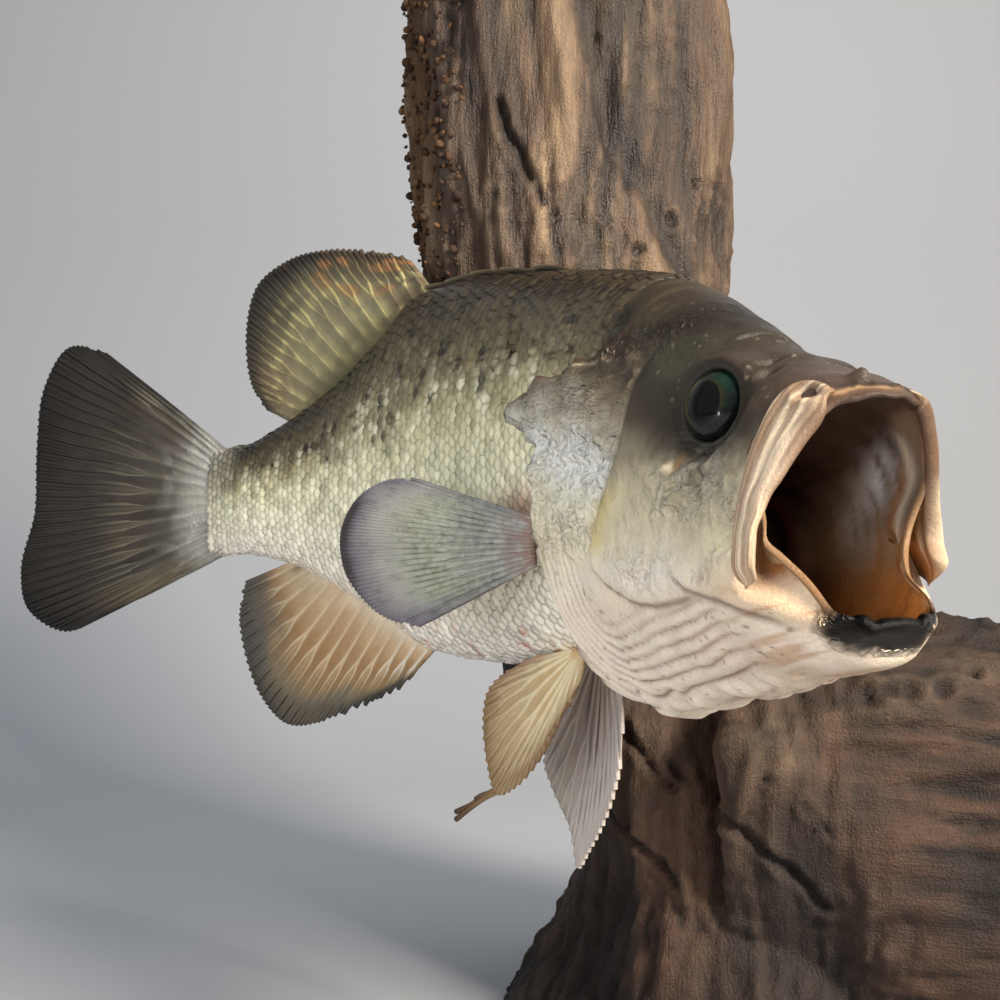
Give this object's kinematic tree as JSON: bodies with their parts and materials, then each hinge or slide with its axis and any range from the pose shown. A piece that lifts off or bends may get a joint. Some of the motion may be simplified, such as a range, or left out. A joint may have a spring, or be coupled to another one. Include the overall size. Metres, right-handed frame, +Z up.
{
  "type": "mounted trophy fish",
  "caption": "Life-size skin mount of a largemouth bass with a gaping mouth and swept tail, standing out from the side of an upright driftwood base.",
  "frame": {"origin": "middle of the sawn flat under the driftwood, on the surface it stands on", "axes": "+Z up, -Y towards the display side that shows the fish's right flank and open mouth, +X to the right seen from there"},
  "size_m": [0.5183, 0.3116, 0.4361],
  "materials": {
    "skin": "varnished fish skin, olive back to cream belly, gloss",
    "head_skin": "varnished dried skin over bone, olive and silver, gloss",
    "jaw_skin": "varnished dried skin, tan and amber, gloss",
    "fin": "dried rayed fin membrane, varnished",
    "eye": "polished glass eye, black pupil and dark green iris",
    "driftwood": "weathered brown root wood, thinly varnished"
  },
  "bodies": {
    "root": {"head": "head_skin", "lower_jaw": "jaw_skin", "throat": "jaw_skin", "maxilla_right": "jaw_skin", "maxilla_left": "jaw_skin", "gill_cover_right": "head_skin", "gill_cover_left": "head_skin", "trunk": "skin", "tail_stalk": "skin", "tail_fin": "fin", "soft_dorsal_fin": "fin", "spiny_dorsal_fin": "fin", "anal_fin": "fin", "pectoral_fin_right": "fin", "pectoral_fin_left": "fin", "pelvic_fin_right": "fin", "pelvic_fin_left": "fin", "eye_right": "eye", "eye_left": "eye", "driftwood": "driftwood"}
  },
  "joints": []
}
